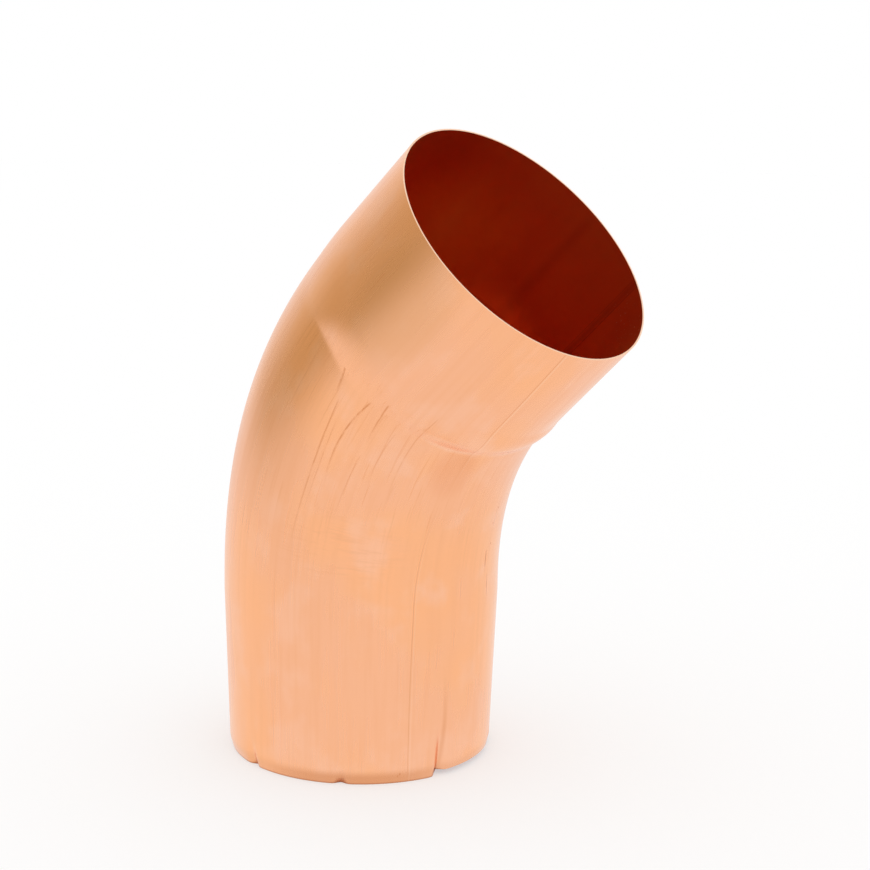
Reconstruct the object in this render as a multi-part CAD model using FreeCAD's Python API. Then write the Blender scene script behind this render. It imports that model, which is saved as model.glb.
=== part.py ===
import FreeCAD, Part
import math
import os

# Round copper downspout elbow, 45 degrees. Millimetres and degrees.
# The spigot stands on z = 0 with its mouth centred on the origin, and the socket leans towards +X.
# Round the tube, angle 0 is the throat of the bend and angle 180 is its back.

# Sheet, and the round downspout that the socket takes
wall = 0.6
pipe_radius = 50.0
socket_clearance = 0.4

# Steps of the outer skin from socket to body, and from body to the mouth of the spigot
socket_step = 0.5
spigot_draw = 2.1

# Lengths along the centre line, and the bend
taper_length = 60.0
straight_length = 5.5
bend_angle = 45.0
bend_radius = 140.0
socket_length = 41.5

# Bending presses the throat and the sides in, most at neck_angle, and swells the back, most at swell_angle
neck_depth = 1.25
side_depth = 1.2
neck_angle = 34.0
back_swell = 1.65
swell_angle = 26.0

# The socket runs on into the bend and ends in a shoulder that rounds over, slopes down and meets the tube in
# a crease. It is steep at steep_angle on the throat, where it bulges a little and the crease is soft, slopes
# less round the sides, and sinks under the swollen back with a long rounding
shoulder_start = 8.5
shoulder_round = 11.0
throat_round = 2.0
back_round = 34.0
shoulder_slope = 0.2
throat_slope = 0.6
shoulder_swell = 0.5
crease_length = 1.2
throat_crease = 0.5
steep_angle = 8.0

# The lower edge is turned in, between pleats gathered in the metal. One pleat is tall, and from it the edge
# is cut back over the next pleats
turn_in = 0.9
turn_height = 4.2
pleat_count = 8
pleat_depth = 1.8
pleat_width = 1.9
pleat_height = 12.0
tall_pleat_angle = 345.5
tall_pleat_depth = 2.6
tall_pleat_height = 32.0
cut_back = 1.8
cut_back_pleats = 2

# Lengthwise welded seam, where the plain faces begin and end
seam_angle = 332.0

socket_bore = pipe_radius + socket_clearance
socket_radius = socket_bore + wall
body_radius = socket_radius - socket_step
spigot_radius = body_radius - spigot_draw
leg_length = taper_length + straight_length
foot_height = tall_pleat_height + turn_height / 2
shoulder_reach = shoulder_start + 1.5 * shoulder_round
shoulder_fan = bend_angle - math.degrees(shoulder_reach / (bend_radius - socket_radius))

ORIGIN = FreeCAD.Vector(0, 0, 0)
X_AXIS = FreeCAD.Vector(1, 0, 0)
Y_AXIS = FreeCAD.Vector(0, 1, 0)
Z_AXIS = FreeCAD.Vector(0, 0, 1)

# Fineness of the formed skins: columns round the tube, spans along it, and the gathering of columns at pleats
PLAIN_COLUMN_COUNT = 48
TUBE_SPAN_COUNT = 6
SHOULDER_SPAN_COUNT = 26
PLEAT_COLUMN_COUNT = 8
PLEAT_SPAN_COUNT = 10
PLEAT_GATHER = 0.65
JOIN_TOLERANCE = 0.0002


def sin(angle):
    return math.sin(math.radians(angle))


def cos(angle):
    return math.cos(math.radians(angle))


def fall(x):
    """Level from 1 at x = 0 down to 0 at x = 1."""
    return 1.0 - x * x * (3.0 - 2.0 * x)


def bend_place(fan):
    """Point of the centre line at a fan angle of the bend."""
    return FreeCAD.Vector(bend_radius * (1 - cos(fan)), 0, leg_length + bend_radius * sin(fan))


def cone_radius(height):
    """Outer radius of the drawn-in spigot."""
    return spigot_radius + spigot_draw * height / taper_length


def foot_radius(height, angle):
    """Outer radius of the lower edge, turned in and pleated."""
    radius = cone_radius(height) - turn_in * max(0.0, 1.0 - height / turn_height) ** 1.3
    for i in range(pleat_count):
        depth, reach = (pleat_depth, pleat_height) if i else (tall_pleat_depth, tall_pleat_height)
        off = angle - tall_pleat_angle - i * 360.0 / pleat_count
        across = math.radians((off + 180.0) % 360.0 - 180.0) * spigot_radius / pleat_width
        radius -= depth * max(0.0, 1.0 - height / reach) ** 1.5 * math.exp(-across * across)
    return radius


def tube_radius(fan, angle):
    """Outer radius of the bent tube at a fan angle of the bend."""
    press = sin(90.0 * min(fan / neck_angle, 1.0)) ** 2
    throat = neck_depth * press * (1 + cos(angle)) / 2
    side = side_depth * press * sin(angle) ** 2
    back = back_swell * sin(90.0 * fan / swell_angle) ** 2 * (1 - cos(angle)) / 2
    return body_radius - throat - side + back


def shoulder_radius(fan, angle):
    """Outer radius where the socket runs into the bend and ends in its shoulder."""
    tube = tube_radius(fan, angle)
    left = bend_angle - fan
    behind = (bend_radius - tube * cos(angle)) * sin(left)
    throat = (1 + cos(angle)) / 2
    front = throat ** 4
    steep = ((1 + cos(angle - steep_angle)) / 2) ** 12
    slope = shoulder_slope + (throat_slope - shoulder_slope) * steep
    rounding = shoulder_round + (throat_round - shoulder_round) * steep
    rounding += (back_round - shoulder_round) * fall(min(2.2 * throat, 1.0))
    start = shoulder_start * throat ** 2
    past = max(behind - start, 0.0)
    drop = slope * (min(past, rounding) ** 2 / (2 * rounding) + max(past - rounding, 0.0))
    bulge = shoulder_swell * front * sin(180.0 * min(behind / (start + rounding), 1.0)) ** 2
    drift = bend_radius * (1 - cos(left))
    lean = cos(angle) * cos(left)
    square = lean ** 2 + sin(angle) ** 2
    reach = square * ((socket_radius + bulge) ** 2 - drift ** 2) + (drift * lean) ** 2
    cone = (math.sqrt(reach) - drift * lean) / square - drop
    crease = slope * crease_length + throat_crease * front
    proud = max(cone - tube, 0.0) + max(crease - abs(tube - cone), 0.0) ** 2 / (4 * crease)
    return tube + proud * fall((left / (bend_angle - shoulder_fan)) ** 8)


def section_point(place, side, radius_at, angle, inset):
    """Point of a cross-section, set in square to its outline by inset."""
    nudge = 0.05
    radius = radius_at(angle)
    slope = math.degrees(radius_at(angle + nudge) - radius_at(angle - nudge)) / (2 * nudge)
    outward = side * cos(angle) + Y_AXIS * sin(angle)
    onward = Y_AXIS * cos(angle) - side * sin(angle)
    square = outward * radius - onward * slope
    return place + outward * radius - square * (inset / square.Length)


def closed_poles(points):
    """Poles of an even closed curve through the points, in the order that its knots take them."""
    poles = points
    for _ in range(30):
        ends = poles[-1:] + poles + poles[:1]
        poles = [p + d - (a + p * 4 + b) * (1 / 6) for a, p, b, d in zip(ends, poles, ends[2:], points)]
    return poles[-1:] + poles[:-1]


def formed(point, spans, columns):
    """Solid in a smooth closed skin through point(along, turn), with along 0 to 1 and turn 0 to 360."""
    turns = [360.0 * i / columns for i in range(columns + 1)]
    steps = [i / spans for i in range(spans + 1)]
    nudge = 0.001

    def ring(along):
        return closed_poles([point(along, turn) for turn in turns[:-1]])

    rings = [ring(step) for step in steps]
    second = ring(nudge)
    last_but_one = ring(1 - nudge)
    lines = []
    for i in range(columns):
        line = Part.BSplineCurve()
        line.interpolate(
            Points=[r[i] for r in rings], Parameters=steps,
            InitialTangent=(second[i] - rings[0][i]) * (1 / nudge),
            FinalTangent=(rings[-1][i] - last_but_one[i]) * (1 / nudge))
        lines.append(line)
    skin = Part.BSplineSurface()
    skin.buildFromPolesMultsKnots(
        [line.getPoles() for line in lines], [1] * len(turns), lines[0].getMultiplicities(),
        turns, lines[0].getKnots(), True, False, 3, 3)
    face = skin.toShape()
    ends = [Part.Face(Part.Wire([edge])) for edge in face.Edges if edge.isClosed()]
    closed = Part.Compound([face] + ends)
    closed.sewShape()
    return Part.Solid(closed.Shells[0])


def foot(inset):
    """Pleated lower edge of the spigot."""
    gather = math.degrees(PLEAT_GATHER / pleat_count)

    def point(along, turn):
        height = foot_height * (0.35 * along + 0.65 * along * along)
        angle = tall_pleat_angle + 180.0 / pleat_count + turn
        angle += gather * (1 - along) * sin(pleat_count * turn)
        return section_point(Z_AXIS * height, X_AXIS, lambda a: foot_radius(height, a), angle, inset)

    return formed(point, PLEAT_SPAN_COUNT, PLEAT_COLUMN_COUNT * pleat_count)


def bent(inset, first, last, radius_at, spans):
    """Stretch of the bend between two fan angles."""

    def point(along, turn):
        fan = first + (last - first) * along
        side = FreeCAD.Vector(cos(fan), 0, -sin(fan))
        return section_point(bend_place(fan), side, lambda a: radius_at(fan, a), seam_angle + turn, inset)

    return formed(point, spans, PLAIN_COLUMN_COUNT)


def filled(inset):
    """Solid that fills the outer skin moved in by inset, from the lower edge to the mouth of the socket."""
    cone = Part.makeCone(cone_radius(foot_height) - inset, body_radius - inset, taper_length - foot_height)
    cone.translate(Z_AXIS * foot_height)
    leg = Part.makeCylinder(body_radius - inset, straight_length)
    leg.translate(Z_AXIS * taper_length)
    socket = Part.makeCylinder(socket_radius - inset, socket_length)
    for plain in (cone, leg, socket):
        plain.rotate(ORIGIN, Z_AXIS, seam_angle)
    socket.rotate(ORIGIN, Y_AXIS, bend_angle)
    socket.translate(bend_place(bend_angle))
    tube = bent(inset, 0.0, shoulder_fan, tube_radius, TUBE_SPAN_COUNT)
    shoulder = bent(inset, shoulder_fan, bend_angle, shoulder_radius, SHOULDER_SPAN_COUNT)
    return foot(inset).fuse([cone, leg, tube, shoulder, socket], JOIN_TOLERANCE)


trim = Part.makeCylinder(pipe_radius, cut_back, ORIGIN, Z_AXIS, cut_back_pleats * 360.0 / pleat_count)
trim.rotate(ORIGIN, Z_AXIS, tall_pleat_angle)
elbow = filled(0.0).cut(filled(wall)).cut(trim).Solids[0]

os.makedirs("parts", exist_ok=True)
elbow.exportStep("parts/elbow.step")
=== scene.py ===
import math

import bpy
from mathutils import Matrix, Vector


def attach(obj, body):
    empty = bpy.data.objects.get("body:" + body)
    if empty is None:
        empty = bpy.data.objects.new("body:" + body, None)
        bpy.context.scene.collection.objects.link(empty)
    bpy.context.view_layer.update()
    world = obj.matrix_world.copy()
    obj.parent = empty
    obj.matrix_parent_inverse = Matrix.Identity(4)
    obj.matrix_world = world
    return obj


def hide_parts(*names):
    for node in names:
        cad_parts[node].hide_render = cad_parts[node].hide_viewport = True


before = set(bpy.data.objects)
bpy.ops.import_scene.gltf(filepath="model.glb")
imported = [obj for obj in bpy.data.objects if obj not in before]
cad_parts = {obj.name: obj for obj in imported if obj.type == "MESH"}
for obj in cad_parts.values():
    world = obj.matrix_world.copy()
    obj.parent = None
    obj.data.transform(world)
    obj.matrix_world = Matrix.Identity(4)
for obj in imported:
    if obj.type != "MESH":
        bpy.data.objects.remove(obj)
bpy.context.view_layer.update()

# Round copper downspout elbow, dressed. The named sizes are the part's own, in millimetres and degrees.
# Round the tube, angle 0 is the throat of the bend and angle 180 is its back. Fan is the angle along the
# bend, and run is the length along the centre line from the lower edge.
MM = 0.001

# Sheet, and the round downspout that the socket takes
wall = 0.6
pipe_radius = 50.0
socket_clearance = 0.4

# Steps of the outer skin, lengths along the centre line, and the bend
socket_step = 0.5
spigot_draw = 2.1
taper_length = 60.0
straight_length = 5.5
bend_angle = 45.0
bend_radius = 140.0
socket_length = 41.5

# Pressed-in throat and sides, and the swollen back
neck_depth = 1.25
side_depth = 1.2
neck_angle = 34.0
back_swell = 1.65
swell_angle = 26.0

# Shoulder under the socket. The powers set how closely a change keeps to the throat or to the end
shoulder_start = 8.5
shoulder_round = 11.0
throat_round = 2.0
back_round = 34.0
shoulder_slope = 0.2
throat_slope = 0.6
shoulder_swell = 0.5
crease_length = 1.2
throat_crease = 0.5
steep_angle = 8.0
shoulder_rounds = 1.5
front_power = 4
steep_power = 12
end_power = 8
back_share = 2.2

# Turned-in and pleated lower edge
turn_in = 0.9
turn_height = 4.2
turn_curve = 1.3
pleat_count = 8
pleat_depth = 1.8
pleat_width = 1.9
pleat_height = 12.0
pleat_curve = 1.5
tall_pleat_angle = 345.5
tall_pleat_depth = 2.6
tall_pleat_height = 32.0
cut_back = 1.8
cut_back_pleats = 2

socket_bore = pipe_radius + socket_clearance
socket_radius = socket_bore + wall
body_radius = socket_radius - socket_step
spigot_radius = body_radius - spigot_draw
leg_length = taper_length + straight_length
foot_height = tall_pleat_height + turn_height / 2
bend_length = math.radians(bend_angle) * bend_radius
bend_end = leg_length + bend_length
mouth = bend_end + socket_length
shoulder_reach = shoulder_start + shoulder_rounds * shoulder_round
shoulder_fan = bend_angle - math.degrees(shoulder_reach / (bend_radius - socket_radius))

# Fineness of the mesh, and the broken edges of the cut sheet
COLUMNS = 240
FOOT_ROWS = 30
FOOT_EVEN = 0.35
CONE_ROWS = 6
LEG_ROWS = 2
TUBE_ROWS = 32
SHOULDER_ROWS = 56
SOCKET_ROWS = 10
CUT_STRIPS = 3
PLEAT_GATHER = 0.65
SHARP_ANGLE = 40.0
edge_bevel = 0.08

# Order of the materials on the mesh
OUTSIDE, INSIDE, CUT = range(3)

# The photograph's camera: direction it stands in, distance from its target, and focal length in pixels
FRAME_PIXELS = 870
SENSOR_WIDTH = 36.0
NEAREST = 0.05
FARTHEST = 20.0
camera_azimuth = 36.797
camera_elevation = 11.822
camera_roll = 0.984
camera_distance = 783.139
camera_focus = 2175.744
camera_right = 10.364
camera_up = -0.252
look_at = Vector((20.0, 0.0, 120.0))

# Marks along the sheet: first and last run, angles at the start, middle and end, half width, strength
scratches = (
    (156.0, 112.0, (288.0, 284.5, 286.5), 0.60, 0.75),
    (161.0, 138.0, (294.5, 294.6, 295.0), 0.55, 0.65),
    (134.0, 100.0, (295.0, 294.0, 293.0), 0.35, 0.30),
    (148.0, 80.0, (276.5, 278.5, 276.0), 0.50, 0.50),
    (140.0, 95.0, (280.0, 281.0, 279.5), 0.30, 0.35),
    (169.0, 108.0, (312.5, 311.0, 312.0), 0.35, 0.40),
    (160.0, 149.0, (271.5, 273.0, 274.5), 0.80, 0.60),
    (150.0, 112.0, (303.0, 302.0, 303.5), 0.30, 0.30),
    (89.0, 74.0, (9.0, 9.2, 9.5), 0.60, 0.95),
    (74.0, 60.0, (12.0, 12.0, 12.2), 0.45, 0.75),
    (196.0, 182.0, (259.0, 259.2, 259.0), 0.35, 0.40),
)
seam_lines = (
    (1.0, 140.0, (329.5, 330.3, 335.0), 0.30, 0.42),
    (217.5, 120.0, (333.6, 335.6, 335.0), 0.30, 0.50),
)
seam_gleams = (
    (1.0, 140.0, (330.4, 331.2, 335.9), 0.30, 0.25),
    (217.5, 120.0, (334.5, 336.5, 335.9), 0.35, 0.40),
)
inner_lines = (
    (217.0, 60.0, (60.0, 60.0, 60.0), 0.40, 0.5),
    (217.0, 60.0, (64.0, 64.0, 64.0), 0.30, 0.4),
    (217.0, 60.0, (62.0, 62.0, 62.0), 2.50, 0.3),
    (214.0, 100.0, (98.0, 98.0, 98.0), 4.00, 0.2),
)
# Painted shade: a soft darker line down the tall pleat's groove
groove_shade_line = (1.0, 46.0, (345.5, 347.0, 344.5), 1.4, 0.34)

# Shares of a mark's length over which it begins and from which it fades
mark_begin = 0.04
mark_fade = 0.3

# Patches of the sheet: place as angle and run, and size in millimetres round and along the tube
# Painted shade: the darker hollow under the throat, where the pressed-in neck dips
hollow_shade_place = (333.0, 142.0)
hollow_shade_size = (11.0, 20.0)
spot_places = ((12.0, 114.0), (10.5, 105.0), (12.5, 92.0), (326.0, 3.5), (325.0, 2.8))
spot_size = (0.4, 0.6)
# Painted shade on the turned-in lip, which faces down, most on the front
lip_shade_place = (306.0, 0.0)
lip_shade_size = (38.0, 14.0)
# Painted highlight: the paler crease under the socket's shoulder
crease_highlight_place = (324.0, 157.0)
crease_highlight_size = (15.0, 4.5)
rub_place = (296.0, 92.0)
rub_size = (34.0, 20.0)
# Painted reflection: a duller, browner patch on the socket's front
dark_reflection_place = (273.0, 195.0)
dark_reflection_size = (21.0, 36.0)
# Painted light: a brighter patch on the inner wall
inside_light_place = (142.0, 178.0)
inside_light_size = (34.0, 34.0)
speck_place = (25.0, 205.0)
speck_size = (40.0, 25.0)

# Runs over which draw lines come and go, and over which the lip's painted shade, the edge's oxide and painted
# shadow, the mouth and the cut foot's oxide and painted shadow change
drawn_first = (75.0, 125.0)
drawn_last = (172.0, 155.0)
lip_shade_fade = (6.0, 2.5)
edge_oxide_and_shadow_fade = (0.9, 0.2)
mouth_fade = (bend_end + 5.0, mouth)
cut_foot_oxide_and_shadow = (12.0, 6.0)

# What is left of draw lines, scratches and the lip's painted shade where they are weakest, and the painted
# shade in the hollow over orange and pink
drawn_least = 0.1
break_least = 0.35
lip_shade_least = 0.4
hollow_shade_shares = (0.9, 0.5)

# Patterns of the metal: lumps per metre on each axis, octaves, roughness, and the span of values that shows
cloud_noise = ((24.0, 24.0, 18.0), 3.0, 0.5)
cloud_span = (0.36, 0.64)
wipe_noise = ((62.0, 62.0, 48.0), 3.0, 0.5)
wipe_span = (0.48, 0.70)
rub_noise = ((80.0, 80.0, 900.0), 4.0, 0.6)
rub_span = (0.50, 0.66)
streak_noise = ((520.0, 520.0, 14.0), 4.0, 0.5)
streak_span = (0.42, 0.75)
hair_noise = ((1500.0, 1500.0, 16.0), 3.0, 0.6)
hair_span = (0.56, 0.70)
grain_noise = ((2600.0, 2600.0, 2600.0), 2.0, 0.5)
break_noise = ((900.0, 900.0, 350.0), 2.0, 0.5)
break_span = (0.32, 0.50)
inner_cloud_noise = ((30.0, 30.0, 24.0), 4.0, 0.5)
inner_cloud_span = (0.35, 0.65)
inner_streak_noise = ((600.0, 600.0, 20.0), 4.0, 0.5)
inner_streak_span = (0.40, 0.75)
speck_noise = ((1100.0, 1100.0, 1100.0), 1.0, 0.5)
speck_span = (0.70, 0.74)
burr_noise = ((900.0, 900.0, 900.0), 3.0, 0.5)

# Colours of the clouds outside and inside and of the cut edge, then the tones over them: share and colour
orange = (0.985, 0.480, 0.245, 1.0)
pink = (0.960, 0.486, 0.282, 1.0)
wiped_tone = (0.70, (0.975, 0.530, 0.340, 1.0))
rubbed_tone = (0.35, (0.880, 0.420, 0.220, 1.0))
streak_tone = (0.22, (0.900, 0.420, 0.205, 1.0))
drawn_tone = (0.30, (0.780, 0.310, 0.120, 1.0))
dark_reflection_tone = (0.65, (0.790, 0.395, 0.190, 1.0))
hollow_shade_tone = (0.75, (0.860, 0.365, 0.180, 1.0))
crease_highlight_tone = (0.50, (1.000, 0.640, 0.450, 1.0))
scratch_tone = (1.00, (0.700, 0.270, 0.100, 1.0))
groove_shade_tone = (1.00, (0.700, 0.280, 0.120, 1.0))
lip_shade_tone = (0.85, (0.730, 0.315, 0.150, 1.0))
edge_oxide_and_shadow_tone = (0.40, (0.400, 0.150, 0.070, 1.0))
gleam_tone = (1.00, (0.990, 0.660, 0.460, 1.0))
inner_red = (0.885, 0.225, 0.044, 1.0)
inner_bright = (0.910, 0.255, 0.055, 1.0)
inner_streak_tone = (0.20, (0.880, 0.220, 0.050, 1.0))
inside_light_tone = (0.90, (0.990, 0.370, 0.060, 1.0))
mouth_tone = (0.80, (0.700, 0.150, 0.030, 1.0))
inner_line_tone = (1.00, (0.350, 0.070, 0.020, 1.0))
speck_tone = (1.00, (0.970, 0.620, 0.420, 1.0))
cut_dark = (0.940, 0.560, 0.360, 1.0)
cut_pale = (0.970, 0.700, 0.510, 1.0)
cut_foot_oxide_and_shadow_tone = (1.00, (0.620, 0.300, 0.170, 1.0))
white = (1.0, 1.0, 1.0, 1.0)

# Roughness of the metal and what patterns add to it, shares of patterns in its relief, and the relief's
# strength and depth
outer_roughness = 0.19
streak_roughness = 0.10
cloud_roughness = 0.05
mark_roughness = 0.20
inner_roughness = 0.30
inner_streak_roughness = 0.12
cut_roughness = 0.20
burr_roughness = 0.20
streak_height = 0.35
grain_height = 0.08
mark_height = 0.50
outer_relief = 0.08
inner_relief = 0.12
cut_relief = 0.20
relief_depth = 0.0002

# The table and the room that the metal mirrors, in metres and degrees. Azimuth 0 is -Y and -90 is -X
table_reach = 2.6
table_sides = 60
table_shown = 0.5
contact_reach = 2.0
dim_azimuth = -30.0
dim_first = 0.45
dim_last = 1.50
dim_colour = (0.75, 0.70, 0.57, 1.0)
wall_near = (18.0, -44.0)
wall_far = (-132.0, -66.0)
wall_top = (85.0, 2.0)
wall_colour = (0.60, 0.525, 0.34, 1.0)
GLOSSY_BOUNCES = 12


def sin(angle):
    return math.sin(math.radians(angle))


def cos(angle):
    return math.cos(math.radians(angle))


def half_turn(angle):
    """Angle between -180 and 180 degrees."""
    return (angle + 180.0) % 360.0 - 180.0


def fall(x):
    """Level from 1 at x = 0 down to 0 at x = 1."""
    return 1.0 - x * x * (3.0 - 2.0 * x)


def cone_radius(height):
    """Outer radius of the lower leg before its edge is worked."""
    return spigot_radius + spigot_draw * min(height / taper_length, 1.0)


def foot_radius(height, angle):
    """Outer radius of the lower leg, turned in and pleated at its edge."""
    radius = cone_radius(height) - turn_in * max(0.0, 1.0 - height / turn_height) ** turn_curve
    for i in range(pleat_count):
        depth, reach = (pleat_depth, pleat_height) if i else (tall_pleat_depth, tall_pleat_height)
        if height < reach:
            off = angle - tall_pleat_angle - i * 360.0 / pleat_count
            across = math.radians(half_turn(off)) * spigot_radius / pleat_width
            radius -= depth * (1.0 - height / reach) ** pleat_curve * math.exp(-across * across)
    return radius


def tube_radius(fan, angle):
    """Outer radius of the bent tube, its throat pressed in and its back swollen."""
    press = sin(90.0 * min(fan / neck_angle, 1.0)) ** 2
    throat = neck_depth * press * (1 + cos(angle)) / 2
    side = side_depth * press * sin(angle) ** 2
    back = back_swell * sin(90.0 * fan / swell_angle) ** 2 * (1 - cos(angle)) / 2
    return body_radius - throat - side + back


def shoulder_radius(fan, angle):
    """Outer radius where the socket runs into the bend and ends in its shoulder."""
    tube = tube_radius(fan, angle)
    left = bend_angle - fan
    behind = (bend_radius - tube * cos(angle)) * sin(left)
    throat = (1 + cos(angle)) / 2
    front = throat ** front_power
    steep = ((1 + cos(angle - steep_angle)) / 2) ** steep_power
    slope = shoulder_slope + (throat_slope - shoulder_slope) * steep
    rounding = shoulder_round + (throat_round - shoulder_round) * steep
    rounding += (back_round - shoulder_round) * fall(min(back_share * throat, 1.0))
    start = shoulder_start * throat ** 2
    past = max(behind - start, 0.0)
    drop = slope * (min(past, rounding) ** 2 / (2 * rounding) + max(past - rounding, 0.0))
    bulge = shoulder_swell * front * sin(180.0 * min(behind / (start + rounding), 1.0)) ** 2
    drift = bend_radius * (1 - cos(left))
    lean = cos(angle) * cos(left)
    square = lean ** 2 + sin(angle) ** 2
    reach = square * ((socket_radius + bulge) ** 2 - drift ** 2) + (drift * lean) ** 2
    cone = (math.sqrt(reach) - drift * lean) / square - drop
    crease = slope * crease_length + throat_crease * front
    proud = max(cone - tube, 0.0) + max(crease - abs(tube - cone), 0.0) ** 2 / (4 * crease)
    return tube + proud * fall((left / (bend_angle - shoulder_fan)) ** end_power)


def outer_radius(run, angle):
    """Outer radius at a length along the centre line."""
    if run <= leg_length:
        return foot_radius(run, angle)
    fan = math.degrees((run - leg_length) / bend_radius)
    if fan < shoulder_fan:
        return tube_radius(fan, angle)
    if fan < bend_angle:
        return shoulder_radius(fan, angle)
    return socket_radius


def centre_line(run):
    """Point of the centre line, and the direction towards the throat there."""
    if run <= leg_length:
        return Vector((0.0, 0.0, run)), Vector((1.0, 0.0, 0.0))
    fan = min(math.degrees((run - leg_length) / bend_radius), bend_angle)
    place = Vector((bend_radius * (1 - cos(fan)), 0.0, leg_length + bend_radius * sin(fan)))
    beyond = max(run - leg_length - bend_length, 0.0)
    return place + Vector((sin(fan), 0.0, cos(fan))) * beyond, Vector((cos(fan), 0.0, -sin(fan)))


def skin_point(run, angle, inset):
    """Point of the skin set in by inset, bent and as it would lie on a straight tube."""
    nudge = 0.05
    radius = outer_radius(run, angle)
    slope = math.degrees(outer_radius(run, angle + nudge) - outer_radius(run, angle - nudge)) / (2 * nudge)
    place, side = centre_line(run)
    across = Vector((0.0, 1.0, 0.0))
    outward = side * cos(angle) + across * sin(angle)
    onward = across * cos(angle) - side * sin(angle)
    square = outward * radius - onward * slope
    bent = place + outward * radius - square * (inset / square.length)
    straight = Vector(((radius - inset) * cos(angle), (radius - inset) * sin(angle), run))
    return bent * MM, straight * MM


def steps(first, last, count):
    """Even steps from first, up to the one before last."""
    return [first + (last - first) * i / count for i in range(count)]


def skin_runs():
    """Lengths along the centre line at which the skin has rows, from the lower edge to the mouth."""
    shoulder_foot = leg_length + math.radians(shoulder_fan) * bend_radius
    shares = steps(0.0, 1.0, FOOT_ROWS)
    runs = [foot_height * (FOOT_EVEN * a + (1.0 - FOOT_EVEN) * a * a) for a in shares]
    runs += steps(foot_height, taper_length, CONE_ROWS)
    runs += steps(taper_length, leg_length, LEG_ROWS)
    runs += steps(leg_length, shoulder_foot, TUBE_ROWS)
    runs += steps(shoulder_foot, bend_end, SHOULDER_ROWS)
    return runs + steps(bend_end, mouth, SOCKET_ROWS) + [mouth]


def column_angle(run, turn):
    """Angle of a column of the mesh. Columns gather at the pleats towards the lower edge."""
    gather = math.degrees(PLEAT_GATHER / pleat_count) * max(0.0, 1.0 - run / foot_height)
    return tall_pleat_angle + 180.0 / pleat_count + turn + gather * sin(pleat_count * turn)


def edge_run(run, angle):
    """Row of the mesh moved up where the lower edge is cut back."""
    within = (angle - tall_pleat_angle) % 360.0 < cut_back_pleats * 360.0 / pleat_count
    return run + cut_back * max(0.0, 1.0 - run / foot_height) if within else run


def sheet_rows():
    """Runs and insets of the rows, up the outside and down the inside, and the material after each row."""
    runs = skin_runs()
    low = runs[0]
    outer = [(run, 0.0) for run in runs]
    inner = [(run, wall) for run in reversed(runs)]
    outer[0] = (low + edge_bevel, 0.0)
    outer[-1] = (mouth - edge_bevel, 0.0)
    inner[0] = (mouth - edge_bevel, wall)
    inner[-1] = (low + edge_bevel, wall)
    rim = [(mouth, edge_bevel), (mouth, wall - edge_bevel)]
    foot = [(low, wall - edge_bevel), (low, edge_bevel)]
    skin = len(runs) - 1
    edge = [CUT] * CUT_STRIPS
    return outer + rim + inner + foot, [OUTSIDE] * skin + edge + [INSIDE] * skin + edge


def elbow_mesh():
    """Both skins and the two cut edges, as one closed mesh with three materials."""
    rows, kinds = sheet_rows()
    places = []
    straights = []
    for run, inset in rows:
        for k in range(COLUMNS):
            angle = column_angle(run, 360.0 * k / COLUMNS)
            bent, straight = skin_point(edge_run(run, angle), angle, inset)
            places.append(bent)
            straights.append(straight)
    faces = []
    spots = []
    for i in range(len(rows)):
        j = (i + 1) % len(rows)
        for k in range(COLUMNS):
            m = (k + 1) % COLUMNS
            faces.append((i * COLUMNS + k, i * COLUMNS + m, j * COLUMNS + m, j * COLUMNS + k))
            spots += [(k, i), (k + 1, i), (k + 1, i + 1), (k, i + 1)]
    mesh = bpy.data.meshes.new("elbow_sheet")
    mesh.from_pydata(places, [], faces)
    mesh.polygons.foreach_set("material_index", [kind for kind in kinds for _ in range(COLUMNS)])
    mesh.polygons.foreach_set("use_smooth", [True] * len(faces))
    shares = [c for column, row in spots for c in (column / COLUMNS, row / len(rows))]
    mesh.uv_layers.new(name="UVMap").data.foreach_set("uv", shares)
    sheet = mesh.attributes.new("straight", "FLOAT_VECTOR", "POINT")
    sheet.data.foreach_set("vector", [c for straight in straights for c in straight])
    mesh.set_sharp_from_angle(angle=math.radians(SHARP_ANGLE))
    mesh.update()
    return mesh


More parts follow.
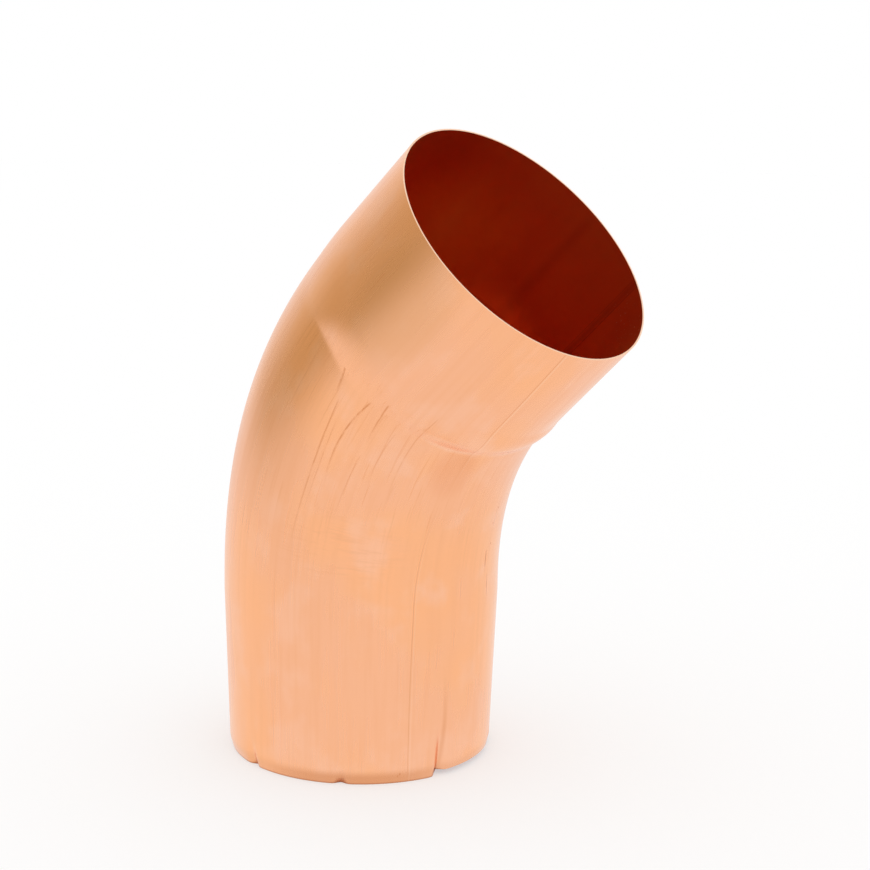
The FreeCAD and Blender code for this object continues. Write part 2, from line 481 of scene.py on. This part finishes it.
class Nodes:
    """Short ways to build one node tree."""

    def __init__(self, tree):
        self.tree = tree

    def add(self, kind, inputs=(), **settings):
        node = self.tree.nodes.new(kind)
        for key, value in settings.items():
            setattr(node, key, value)
        for name, value in dict(inputs).items():
            self.put(node.inputs[name], value)
        return node

    def put(self, socket, value):
        if isinstance(value, bpy.types.NodeSocket):
            self.tree.links.new(value, socket)
        else:
            socket.default_value = value

    def math(self, operation, *values):
        node = self.add("ShaderNodeMath", operation=operation)
        for socket, value in zip(node.inputs, values):
            self.put(socket, value)
        return node.outputs[0]

    def ramp(self, value, low, high, to_low=0.0, to_high=1.0):
        """Smooth step of a value from low to high."""
        node = self.add("ShaderNodeMapRange", interpolation_type="SMOOTHSTEP")
        for socket, item in zip(node.inputs, (value, low, high, to_low, to_high)):
            self.put(socket, item)
        return node.outputs[0]

    def mix(self, factor, a, b):
        """Mix of two colours, whose sockets follow those for numbers and vectors."""
        node = self.add("ShaderNodeMix", data_type="RGBA")
        self.put(node.inputs[0], factor)
        self.put(node.inputs[6], a)
        self.put(node.inputs[7], b)
        return node.outputs[2]

    def over(self, colour, mask, tone):
        """Colour with a tone over it where the mask is."""
        share, shade = tone
        return self.mix(mask if share == 1.0 else self.math("MULTIPLY", mask, share), colour, shade)

    def noise(self, vector, pattern):
        """Noise of a given number of lumps per metre on each axis."""
        lumps, octaves, roughness = pattern
        mapping = self.add("ShaderNodeMapping", {"Vector": vector, "Scale": lumps})
        node = self.add("ShaderNodeTexNoise", {
            "Vector": mapping.outputs[0], "Scale": 1.0, "Detail": octaves, "Roughness": roughness})
        return node.outputs[0]

    def most(self, masks):
        """The strongest of several masks at each place."""
        whole = masks[0]
        for mask in masks[1:]:
            whole = self.math("MAXIMUM", whole, mask)
        return whole


def new_material(name):
    material = bpy.data.materials.new(name)
    material.use_nodes = True
    material.node_tree.nodes.clear()
    return material, Nodes(material.node_tree)


def sheet_places(nodes):
    """The straight tube's own place, its angle in degrees from the throat, and the run in millimetres."""
    straight = nodes.add("ShaderNodeAttribute", attribute_name="straight").outputs["Vector"]
    parts = nodes.add("ShaderNodeSeparateXYZ", {"Vector": straight}).outputs
    turn = nodes.math("ARCTAN2", parts[1], parts[0])
    angle = nodes.math("MULTIPLY", turn, math.degrees(1.0))
    run = nodes.math("MULTIPLY", parts[2], 1.0 / MM)
    return straight, angle, run


def finish_metal(nodes, colour, roughness, height, relief):
    bump = nodes.add("ShaderNodeBump", {"Strength": relief, "Distance": relief_depth, "Height": height})
    metal = nodes.add("ShaderNodeBsdfPrincipled", {
        "Base Color": colour, "Roughness": roughness, "Metallic": 1.0, "Normal": bump.outputs[0]})
    output = nodes.add("ShaderNodeOutputMaterial")
    nodes.tree.links.new(metal.outputs[0], output.inputs[0])


def hairline(nodes, angle, run, mark):
    """Thin mark along the tube through three places, strongest at its first end."""
    first, last, angles, width, strength = mark
    start, middle, end = [half_turn(a) for a in angles]
    along = nodes.math("MULTIPLY", nodes.math("SUBTRACT", run, first), 1.0 / (last - first))
    bow = 2.0 * (start + end - 2.0 * middle)
    tilt = end - start - bow
    centre = nodes.math("MULTIPLY_ADD", along, nodes.math("MULTIPLY_ADD", along, bow, tilt), start)
    off = nodes.math("ABSOLUTE", nodes.math("SUBTRACT", angle, centre))
    line = nodes.ramp(off, math.degrees(width / body_radius), 0.0)
    begin = nodes.ramp(along, -mark_begin, mark_begin, 0.0, strength)
    fade = nodes.ramp(along, 1.0, mark_fade)
    return nodes.math("MULTIPLY", line, nodes.math("MULTIPLY", begin, fade))


def hairlines(nodes, angle, run, marks):
    return nodes.most([hairline(nodes, angle, run, mark) for mark in marks])


def patch(nodes, angle, run, centre, size):
    """Soft patch round a place, given as angle and run, fading out at its size in millimetres."""
    turn = half_turn(centre[0])
    across = nodes.math("MULTIPLY", nodes.math("SUBTRACT", angle, turn), math.radians(body_radius) / size[0])
    along = nodes.math("MULTIPLY", nodes.math("SUBTRACT", run, centre[1]), 1.0 / size[1])
    square = nodes.math("ADD", nodes.math("MULTIPLY", across, across), nodes.math("MULTIPLY", along, along))
    return nodes.ramp(square, 1.0, 0.0)


def draw_lines(nodes, straight, run):
    """Fine lines left by drawing the tube, mostly under the shoulder."""
    drawn = nodes.math("MULTIPLY", nodes.ramp(run, *drawn_first), nodes.ramp(run, *drawn_last))
    hairs = nodes.ramp(nodes.noise(straight, hair_noise), *hair_span)
    drawn = nodes.math("MULTIPLY_ADD", drawn, 1.0 - drawn_least, drawn_least)
    return nodes.math("MULTIPLY", hairs, drawn)


def dark_marks(nodes, straight, angle, run):
    """Scratches, broken along their length, the seam's line and small dark spots."""
    broken = nodes.ramp(nodes.noise(straight, break_noise), *break_span, break_least, 1.0)
    marks = nodes.math("MULTIPLY", hairlines(nodes, angle, run, scratches), broken)
    spots = nodes.most([patch(nodes, angle, run, place, spot_size) for place in spot_places])
    return nodes.most([marks, hairlines(nodes, angle, run, seam_lines), spots])


def lip_shade(nodes, angle, run):
    """Painted shade on the last millimetres above the lower edge, where the lip turns in and faces down, most
    on the front.
    """
    front = patch(nodes, angle, run, lip_shade_place, lip_shade_size)
    shaded = nodes.math("MULTIPLY_ADD", front, 1.0 - lip_shade_least, lip_shade_least)
    return nodes.math("MULTIPLY", nodes.ramp(run, *lip_shade_fade), shaded)


def outside_copper():
    """Bright copper, clouded pink and orange, with draw lines under the shoulder and scratches, painted shade
    in the hollow under the throat, in the pleat's groove and on the lip, a painted darker reflection on the
    socket and a painted highlight along the crease.
    """
    material, nodes = new_material("copper_outside")
    straight, angle, run = sheet_places(nodes)
    clouds = nodes.ramp(nodes.noise(straight, cloud_noise), *cloud_span)
    wiped = nodes.ramp(nodes.noise(straight, wipe_noise), *wipe_span)
    streaks = nodes.noise(straight, streak_noise)
    lines = draw_lines(nodes, straight, run)
    dark = dark_marks(nodes, straight, angle, run)
    rubs = nodes.ramp(nodes.noise(straight, rub_noise), *rub_span)
    rubs = nodes.math("MULTIPLY", rubs, patch(nodes, angle, run, rub_place, rub_size))
    # Painted shade in the hollow under the throat, weaker over the pink clouds
    hollow_shade = patch(nodes, angle, run, hollow_shade_place, hollow_shade_size)
    hollow_shade = nodes.math("MULTIPLY", hollow_shade, nodes.ramp(clouds, 0.0, 1.0, *hollow_shade_shares))
    colour = nodes.mix(clouds, orange, pink)
    for mask, tone in (
            (wiped, wiped_tone),
            (rubs, rubbed_tone),
            (nodes.ramp(streaks, *streak_span), streak_tone),
            (lines, drawn_tone),
            # Painted darker reflection on the socket's front
            (patch(nodes, angle, run, dark_reflection_place, dark_reflection_size), dark_reflection_tone),
            (hollow_shade, hollow_shade_tone),
            # Painted highlight along the crease under the shoulder
            (patch(nodes, angle, run, crease_highlight_place, crease_highlight_size), crease_highlight_tone),
            (dark, scratch_tone),
            # Painted shade down the tall pleat's groove
            (hairline(nodes, angle, run, groove_shade_line), groove_shade_tone),
            # Painted shade on the turned-in lip
            (lip_shade(nodes, angle, run), lip_shade_tone),
            # Darker thin band at the lower edge: partly oxide of the cut, partly painted contact shadow
            (nodes.ramp(run, *edge_oxide_and_shadow_fade), edge_oxide_and_shadow_tone),
            (hairlines(nodes, angle, run, seam_gleams), gleam_tone)):
        colour = nodes.over(colour, mask, tone)
    roughness = nodes.math("MULTIPLY_ADD", streaks, streak_roughness, outer_roughness)
    roughness = nodes.math("MULTIPLY_ADD", clouds, cloud_roughness, roughness)
    roughness = nodes.math("MULTIPLY_ADD", dark, mark_roughness, roughness)
    grain = nodes.math("MULTIPLY", nodes.noise(straight, grain_noise), grain_height)
    height = nodes.math("MULTIPLY_ADD", streaks, streak_height, grain)
    height = nodes.math("SUBTRACT", height, nodes.math("MULTIPLY", nodes.most([dark, lines]), mark_height))
    finish_metal(nodes, colour, roughness, height, outer_relief)
    return material


def inside_copper():
    """Redder copper within, with the seam's double line, a few pale specks near the mouth and a brighter
    patch of painted light on the wall.
    """
    material, nodes = new_material("copper_inside")
    straight, angle, run = sheet_places(nodes)
    clouds = nodes.ramp(nodes.noise(straight, inner_cloud_noise), *inner_cloud_span)
    streaks = nodes.noise(straight, inner_streak_noise)
    seam = hairlines(nodes, angle, run, inner_lines)
    near = nodes.ramp(run, *mouth_fade)
    specks = nodes.ramp(nodes.noise(straight, speck_noise), *speck_span)
    specked = nodes.math("MULTIPLY", near, patch(nodes, angle, run, speck_place, speck_size))
    colour = nodes.mix(clouds, inner_red, inner_bright)
    for mask, tone in (
            (nodes.ramp(streaks, *inner_streak_span), inner_streak_tone),
            # Painted light on the inner wall
            (patch(nodes, angle, run, inside_light_place, inside_light_size), inside_light_tone),
            (near, mouth_tone),
            (seam, inner_line_tone),
            (nodes.math("MULTIPLY", specks, specked), speck_tone)):
        colour = nodes.over(colour, mask, tone)
    roughness = nodes.math("MULTIPLY_ADD", streaks, inner_streak_roughness, inner_roughness)
    finish_metal(nodes, colour, roughness, nodes.math("SUBTRACT", streaks, seam), inner_relief)
    return material


def cut_copper():
    """Bare metal of the cut edges, darker at the foot, partly from oxide and partly as painted contact
    shadow.
    """
    material, nodes = new_material("copper_cut")
    straight, _, run = sheet_places(nodes)
    burr = nodes.noise(straight, burr_noise)
    colour = nodes.mix(burr, cut_dark, cut_pale)
    # Darker foot of the cut edge: partly oxide, partly painted contact shadow
    colour = nodes.over(colour, nodes.ramp(run, *cut_foot_oxide_and_shadow), cut_foot_oxide_and_shadow_tone)
    roughness = nodes.math("MULTIPLY_ADD", burr, burr_roughness, cut_roughness)
    finish_metal(nodes, colour, roughness, burr, cut_relief)
    return material


def stand_camera():
    heading = Vector((sin(camera_azimuth), -cos(camera_azimuth), 0.0))
    back = heading * cos(camera_elevation) + Vector((0.0, 0.0, sin(camera_elevation)))
    level = Vector((0.0, 0.0, 1.0)).cross(back).normalized()
    upright = back.cross(level)
    right = level * cos(camera_roll) + upright * sin(camera_roll)
    up = upright * cos(camera_roll) - level * sin(camera_roll)
    target = look_at + right * camera_right + up * camera_up
    lens = bpy.data.cameras.new("camera")
    lens.sensor_width = SENSOR_WIDTH
    lens.lens = camera_focus / FRAME_PIXELS * SENSOR_WIDTH
    lens.clip_start = NEAREST
    lens.clip_end = FARTHEST
    camera = bpy.data.objects.new("camera", lens)
    turned = Matrix((right, up, back)).transposed().to_4x4()
    camera.matrix_world = Matrix.Translation((target + back * camera_distance) * MM) @ turned
    bpy.context.scene.collection.objects.link(camera)
    bpy.context.scene.camera = camera


def floor_white():
    """White paint. The metal mirrors it white, less towards the beige wall, and in shade under the part."""
    material, nodes = new_material("floor_white")
    place = nodes.add("ShaderNodeNewGeometry").outputs["Position"]
    x, y, _ = nodes.add("ShaderNodeSeparateXYZ", {"Vector": place}).outputs
    out = nodes.math("SQRT", nodes.math("ADD", nodes.math("MULTIPLY", x, x), nodes.math("MULTIPLY", y, y)))
    side = nodes.math("MULTIPLY_ADD", x, sin(dim_azimuth), nodes.math("MULTIPLY", y, -cos(dim_azimuth)))
    tint = nodes.mix(nodes.ramp(side, dim_first, dim_last), white, dim_colour)
    paint = nodes.add("ShaderNodeBsdfDiffuse", {"Color": white})
    bright = nodes.add("ShaderNodeEmission", {"Color": white, "Strength": 1.0})
    glow = nodes.add("ShaderNodeEmission", {"Color": tint, "Strength": 1.0})
    path = nodes.add("ShaderNodeLightPath").outputs
    beside = nodes.ramp(out, MM * (spigot_radius - contact_reach), MM * spigot_radius)
    mirrored = nodes.math("MAXIMUM", path["Is Glossy Ray"], path["Is Transmission Ray"])
    mirrored = nodes.math("MULTIPLY", mirrored, beside)
    shown = nodes.math("MULTIPLY", path["Is Camera Ray"], table_shown)
    plain = nodes.add("ShaderNodeMixShader", {0: shown, 1: paint.outputs[0], 2: bright.outputs[0]})
    blend = nodes.add("ShaderNodeMixShader", {0: mirrored, 1: plain.outputs[0], 2: glow.outputs[0]})
    output = nodes.add("ShaderNodeOutputMaterial")
    nodes.tree.links.new(blend.outputs[0], output.inputs[0])
    return material


def lay_floor():
    """Round white table."""
    turns = [360.0 * i / table_sides for i in range(table_sides)]
    mesh = bpy.data.meshes.new("floor")
    rim = [(table_reach * cos(turn), table_reach * sin(turn), 0.0) for turn in turns]
    mesh.from_pydata(rim, [], [tuple(range(table_sides))])
    mesh.materials.append(floor_white())
    floor = bpy.data.objects.new("floor", mesh)
    bpy.context.scene.collection.objects.link(floor)


def light_studio():
    """White surroundings all round, with a beige stretch of wall to the left, which only the metal shows."""
    world = bpy.data.worlds.new("studio")
    bpy.context.scene.world = world
    world.use_nodes = True
    world.node_tree.nodes.clear()
    nodes = Nodes(world.node_tree)
    way = nodes.add("ShaderNodeTexCoord").outputs["Generated"]
    x, y, z = nodes.add("ShaderNodeSeparateXYZ", {"Vector": way}).outputs
    heading = nodes.math("ARCTAN2", x, nodes.math("MULTIPLY", y, -1.0))
    azimuth = nodes.math("MULTIPLY", heading, math.degrees(1.0))
    elevation = nodes.math("MULTIPLY", nodes.math("ARCSINE", z), math.degrees(1.0))
    beige = nodes.math("MULTIPLY", nodes.ramp(azimuth, *wall_near), nodes.ramp(azimuth, *wall_far))
    beige = nodes.math("MULTIPLY", beige, nodes.ramp(elevation, *wall_top))
    shown = nodes.add("ShaderNodeLightPath").outputs["Is Glossy Ray"]
    colour = nodes.mix(nodes.math("MULTIPLY", beige, shown), white, wall_colour)
    sky = nodes.add("ShaderNodeBackground", {"Color": colour, "Strength": 1.0})
    output = nodes.add("ShaderNodeOutputWorld")
    nodes.tree.links.new(sky.outputs[0], output.inputs[0])


elbow = bpy.data.objects.new("elbow_dressed", elbow_mesh())
bpy.context.scene.collection.objects.link(elbow)
for finish in (outside_copper(), inside_copper(), cut_copper()):
    elbow.data.materials.append(finish)
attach(elbow, "root")
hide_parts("elbow")

stand_camera()
lay_floor()
light_studio()
bpy.context.scene.view_settings.view_transform = "Standard"
bpy.context.scene.cycles.glossy_bounces = GLOSSY_BOUNCES
